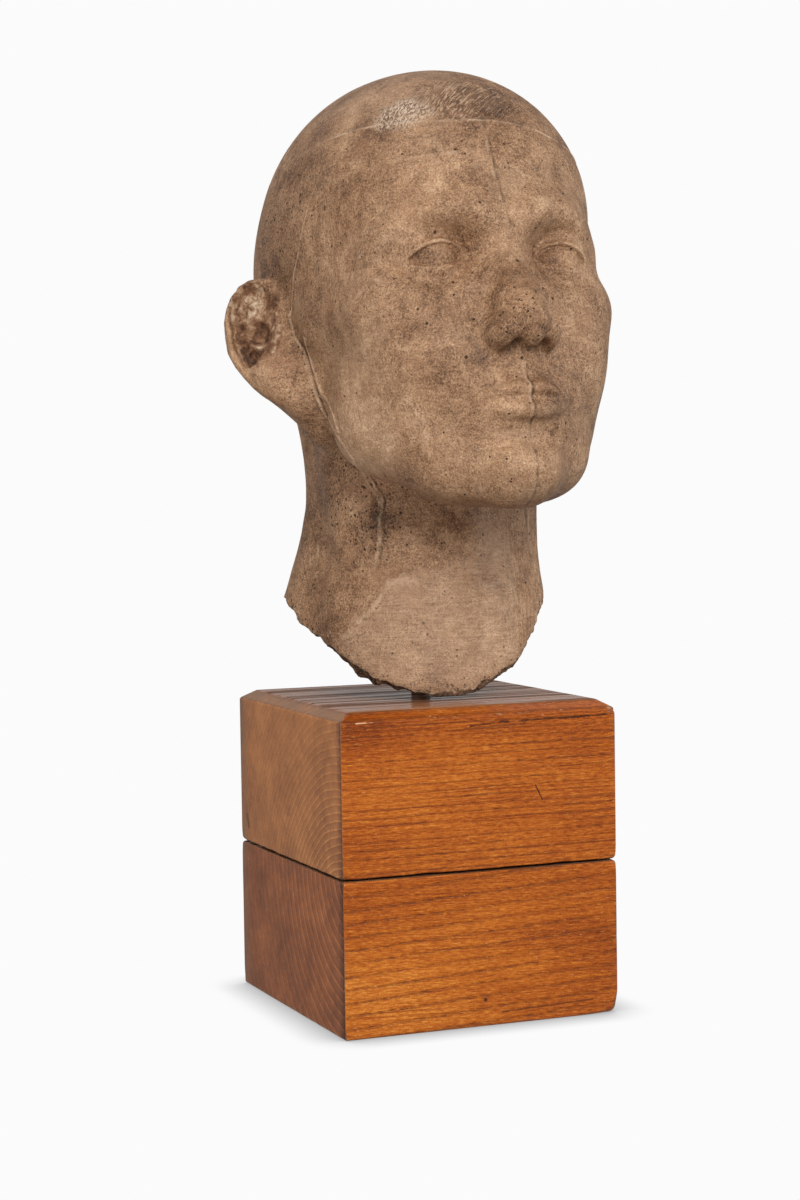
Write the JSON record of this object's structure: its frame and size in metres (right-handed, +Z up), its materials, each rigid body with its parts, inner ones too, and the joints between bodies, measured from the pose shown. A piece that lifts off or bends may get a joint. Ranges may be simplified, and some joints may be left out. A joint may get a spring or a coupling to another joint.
{
  "type": "sculpted head",
  "caption": "Life-size bald head and neck in brown cast composition, broken along the neck, on a rod over a plinth of stacked varnished wood blocks.",
  "frame": {"origin": "middle of the plinth's underside", "axes": "+Z up, through the crown; -Y the front, where the face looks; +X the head's left"},
  "size_m": [0.2034, 0.2494, 0.4816],
  "materials": {
    "cast_composition": "satin",
    "dark_steel": "satin",
    "varnished_wood": "gloss"
  },
  "bodies": {
    "root": {"head": "cast_composition", "mounting_rod": "dark_steel", "plinth_upper_block": "varnished_wood", "plinth_lower_block": "varnished_wood"}
  },
  "joints": []
}
